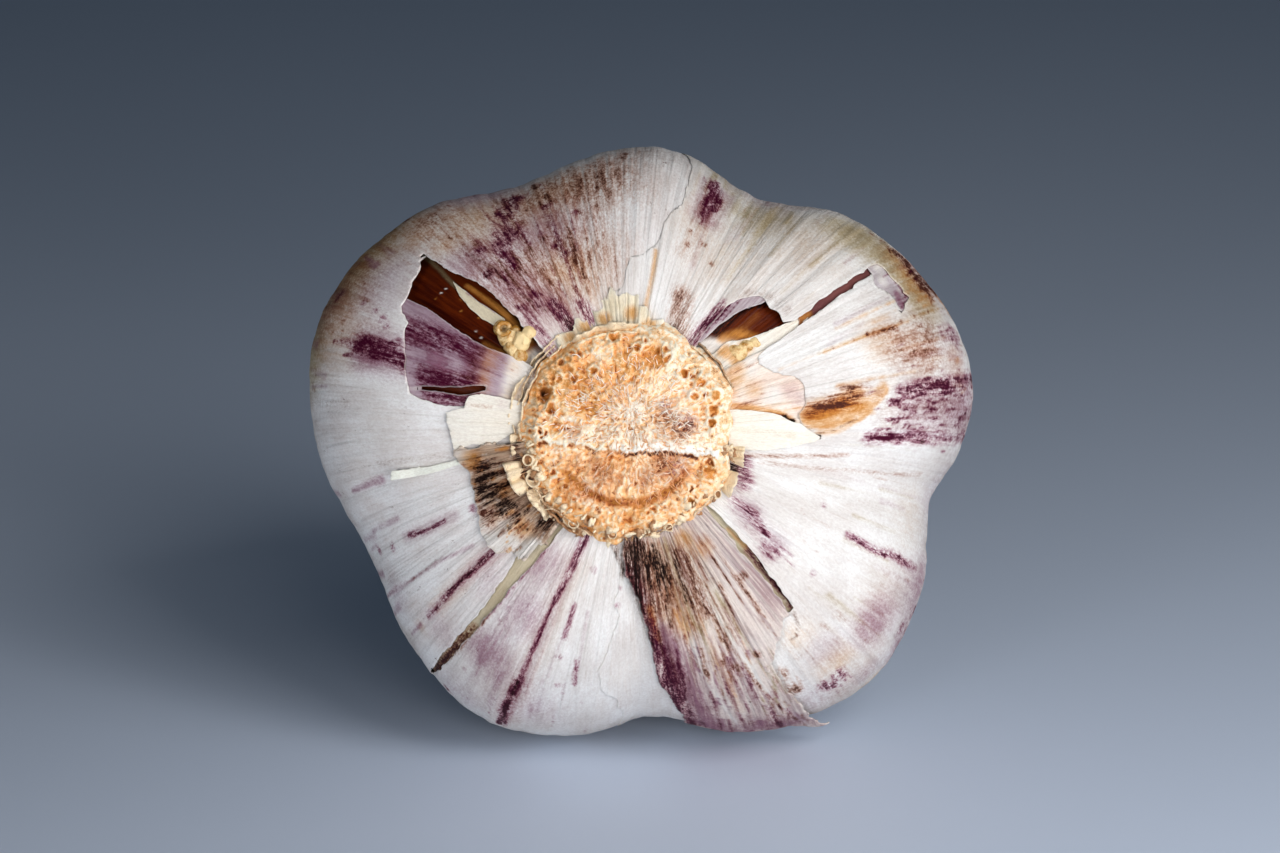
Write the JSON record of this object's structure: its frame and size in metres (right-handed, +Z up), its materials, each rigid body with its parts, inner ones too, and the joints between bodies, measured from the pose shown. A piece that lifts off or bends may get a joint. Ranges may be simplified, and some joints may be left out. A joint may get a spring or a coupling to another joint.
{
  "type": "garlic bulb",
  "caption": "Whole garlic bulb with purple-streaked papery skins, torn in places to show the brown clove skins, lying on its side with its root plate forward.",
  "frame": {"origin": "middle of the box around the bulb, on the surface it lies on", "axes": "+Z up, +Y from the root plate towards the cut neck, so the plate faces -Y and is tipped 20 degrees up"},
  "size_m": [0.06, 0.0698, 0.0527],
  "materials": {
    "root_plate": "rough corky root plate, tan to orange",
    "dry_stalk": "dry straw-coloured stalk",
    "outer_skin": "papery white skin with purple streaks",
    "inner_skin": "thin purple skin",
    "clove_skin": "smooth brown skin, slightly glossy",
    "clove_flesh": "firm cream flesh",
    "stained_leaf": "old leaf stained purple-brown"
  },
  "bodies": {
    "root": {"root_plate": "root_plate", "scape": "dry_stalk", "neck_sheath": "dry_stalk", "outer_wrapper": "outer_skin", "inner_wrapper": "inner_skin", "clove_right": "clove_flesh", "clove_top": "clove_flesh", "clove_left": "clove_flesh", "clove_lower_left": "clove_flesh", "clove_lower_right": "clove_flesh", "clove_skin_right": "clove_skin", "clove_skin_top": "clove_skin", "clove_skin_left": "clove_skin", "clove_skin_lower_left": "clove_skin", "clove_skin_lower_right": "clove_skin", "leaf_lower_right": "stained_leaf", "leaf_bottom": "outer_skin", "leaf_top": "outer_skin", "scab_left": "stained_leaf", "flap_left": "outer_skin", "strip_left": "outer_skin"}
  },
  "joints": []
}
